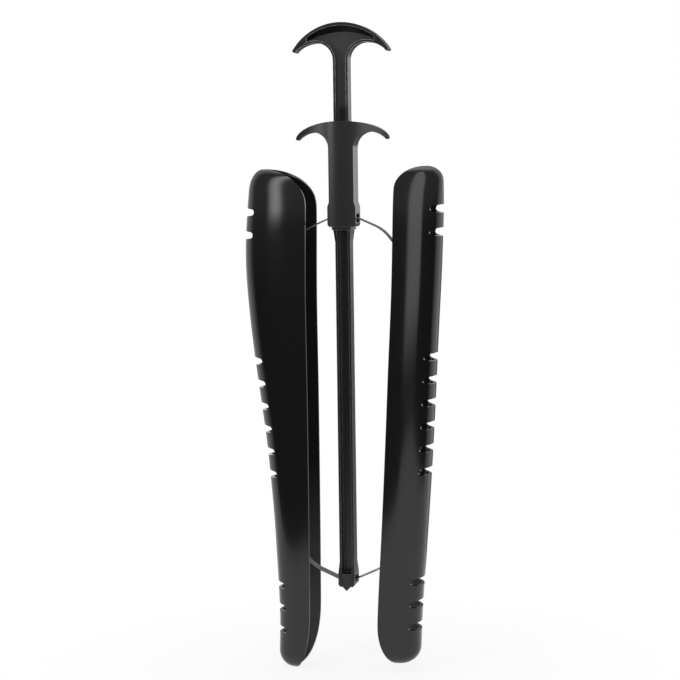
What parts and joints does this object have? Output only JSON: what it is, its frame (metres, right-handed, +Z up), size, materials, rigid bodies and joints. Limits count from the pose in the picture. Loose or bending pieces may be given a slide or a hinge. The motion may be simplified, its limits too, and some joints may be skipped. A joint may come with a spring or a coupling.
{
  "type": "boot shaft stretcher",
  "caption": "Spring boot shaper: curved shin and calf shells on flat springs, drawn in by squeezing a sliding T handle up a central rod towards a fixed one.",
  "frame": {"origin": "on the rod's axis, at the level of the shells' lower ends, midway between the outermost points of the shells", "axes": "+Z up along the rod towards the handles, +X towards the shin shell, -Y towards the side that the picture shows"},
  "size_m": [0.1542, 0.041, 0.495],
  "materials": {
    "black_plastic": "satin moulded black",
    "handle_plastic": "satin moulded black",
    "shell_plastic": "glossy moulded black",
    "spring_steel": "rolled and blued",
    "clamp_steel": "zinc plated",
    "screw_steel": "zinc plated",
    "pin_steel": "drawn wire"
  },
  "bodies": {
    "rod": {"centre_rod": "black_plastic", "calf_foot_pin": "pin_steel", "shin_foot_pin": "pin_steel"},
    "slide_handle": {"slide_handle_front": "handle_plastic", "slide_handle_back": "handle_plastic", "slide_handle_screws": "screw_steel", "calf_sleeve_pin": "pin_steel", "shin_sleeve_pin": "pin_steel"},
    "calf_half": {"calf_shell": "shell_plastic", "calf_clamp_plate": "clamp_steel", "calf_clamp_screws": "screw_steel"},
    "shin_half": {"shin_shell": "shell_plastic", "shin_clamp_plate": "clamp_steel", "shin_clamp_screws": "screw_steel"},
    "calf_strip": {"calf_spring": "spring_steel"},
    "shin_strip": {"shin_spring": "spring_steel"}
  },
  "joints": [
    {"name": "handle_slide", "type": "slide", "parent": "rod", "child": "slide_handle", "axis": [0, 0, 1], "range_m": [0, 0.032], "stiffness_N_per_m": 1200, "springref_m": -0.012, "deforming": ["calf_spring", "shin_spring"]},
    {"name": "calf_draw", "type": "slide", "parent": "rod", "child": "calf_half", "axis": [0.8423, 0, 0.5391], "range_m": [0, 0.0297]},
    {"name": "shin_draw", "type": "slide", "parent": "rod", "child": "shin_half", "axis": [-0.8423, 0, 0.5391], "range_m": [0, 0.0297]},
    {"name": "calf_strip_draw", "type": "slide", "parent": "slide_handle", "child": "calf_strip", "axis": [0.8423, 0, -0.5391], "range_m": [0, 0.0297]},
    {"name": "shin_strip_draw", "type": "slide", "parent": "slide_handle", "child": "shin_strip", "axis": [-0.8423, 0, -0.5391], "range_m": [0, 0.0297]}
  ],
  "couplings": [
    {"joint": "calf_draw", "follows": "handle_slide", "ratio": 0.92755},
    {"joint": "shin_draw", "follows": "handle_slide", "ratio": 0.92755},
    {"joint": "calf_strip_draw", "follows": "handle_slide", "ratio": 0.92755},
    {"joint": "shin_strip_draw", "follows": "handle_slide", "ratio": 0.92755}
  ]
}
